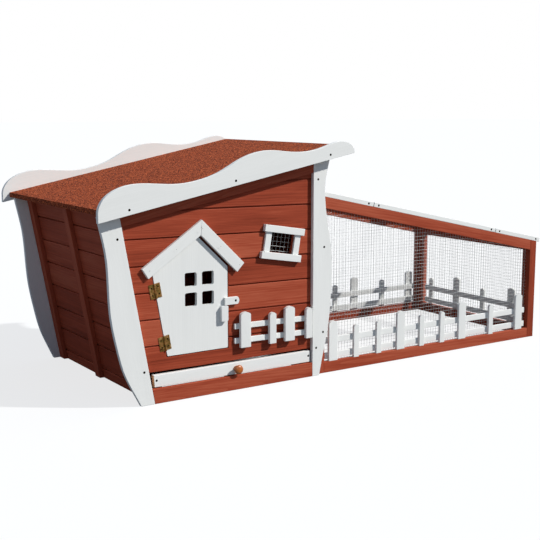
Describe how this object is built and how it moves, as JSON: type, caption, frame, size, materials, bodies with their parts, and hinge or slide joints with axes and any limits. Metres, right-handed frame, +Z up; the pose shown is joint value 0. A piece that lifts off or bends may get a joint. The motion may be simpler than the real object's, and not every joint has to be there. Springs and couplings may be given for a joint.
{
  "type": "rabbit hutch with run",
  "caption": "Small leaning cottage-shaped rabbit hutch with a sloping felt roof, gabled door and pull-out tray, joined to a low wire-mesh run with picket fences.",
  "frame": {"origin": "middle of the object's box, on the ground", "axes": "+X from the hutch to the run's far end, +Y from the front to the back, +Z up"},
  "size_m": [1.916, 0.834, 0.7997],
  "materials": {
    "red_stained_wood": "red-brown wood stain, satin",
    "white_painted_wood": "white paint, satin",
    "bare_pine": "sawn, bare",
    "varnished_wood": "orange-brown varnish, gloss",
    "red_roofing_felt": "red mineral-surfaced bitumen felt",
    "galvanised_wire": "galvanised welded wire",
    "galvanised_sheet": "galvanised sheet",
    "yellow_zinc_steel": "yellow zinc plated",
    "screw_steel": "dark zinc plated"
  },
  "bodies": {
    "hutch": {"front_boards": "red_stained_wood", "rear_boards": "red_stained_wood", "left_boards": "red_stained_wood", "right_boards": "red_stained_wood", "left_battens": "red_stained_wood", "right_battens": "red_stained_wood", "front_rails": "red_stained_wood", "rear_rails": "red_stained_wood", "run_front_stiles": "red_stained_wood", "run_front_rails": "red_stained_wood", "run_rear_stiles": "red_stained_wood", "run_rear_rails": "red_stained_wood", "run_end_frame": "red_stained_wood", "left_front_post": "white_painted_wood", "right_front_post": "white_painted_wood", "left_rear_post": "white_painted_wood", "right_rear_post": "white_painted_wood", "gable_trims": "white_painted_wood", "window_boards": "white_painted_wood", "mini_fence_pickets": "white_painted_wood", "mini_fence_rails": "white_painted_wood", "fixed_top_boards": "white_painted_wood", "run_fence_pickets": "white_painted_wood", "run_fence_rails": "white_painted_wood", "tray_runners": "bare_pine", "window_mesh": "galvanised_wire", "run_front_mesh": "galvanised_wire", "run_rear_mesh": "galvanised_wire", "run_end_mesh": "galvanised_wire", "fixed_top_meshes": "galvanised_wire", "door_hinge_wall_leaves": "yellow_zinc_steel", "roof_hinge_rail_leaves": "yellow_zinc_steel", "lid_hinge_rail_leaves": "yellow_zinc_steel", "hinge_pins": "yellow_zinc_steel", "post_screws": "screw_steel", "turn_button_screw": "screw_steel", "hinge_screws": "screw_steel", "fixed_top_screws": "screw_steel"},
    "roof": {"roof_deck": "bare_pine", "roof_felt": "red_roofing_felt", "front_bargeboard": "white_painted_wood", "rear_bargeboard": "white_painted_wood", "bargeboard_screws": "screw_steel", "roof_hinge_leaves": "yellow_zinc_steel", "roof_hinge_screws": "screw_steel"},
    "door": {"door_panel": "white_painted_wood", "door_handle": "white_painted_wood", "door_hinge_leaves": "yellow_zinc_steel", "door_hinge_screws": "screw_steel"},
    "button": {"turn_button": "white_painted_wood"},
    "tray": {"tray_front": "white_painted_wood", "tray_pan": "galvanised_sheet", "tray_knob": "varnished_wood", "tray_screws": "screw_steel"},
    "lid": {"lid_boards": "white_painted_wood", "lid_mesh": "galvanised_wire", "lid_screws": "screw_steel", "lid_hinge_leaves": "yellow_zinc_steel", "lid_hinge_screws": "screw_steel"}
  },
  "joints": [
    {"name": "roof_lift", "type": "hinge", "parent": "hutch", "child": "roof", "pos_m": [-0.76803, 0.3705, 0.62443], "axis": [-0.9816, 0, -0.1908], "range_deg": [0, 75]},
    {"name": "door_swing", "type": "hinge", "parent": "hutch", "child": "door", "pos_m": [-0.71653, -0.3725, 0.143], "axis": [0.1762, 0, -0.9843], "range_deg": [0, 100]},
    {"name": "button_turn", "type": "hinge", "parent": "hutch", "child": "button", "pos_m": [-0.47003, -0.369, 0.2965], "axis": [0, 1, 0], "range_deg": [0, 90]},
    {"name": "tray_slide", "type": "slide", "parent": "hutch", "child": "tray", "axis": [0, -1, 0], "range_m": [0, 0.56]},
    {"name": "lid_lift", "type": "hinge", "parent": "hutch", "child": "lid", "pos_m": [0.10529, 0.3225, 0.56738], "axis": [-0.9772, 0, 0.2122], "range_deg": [0, 110]}
  ]
}
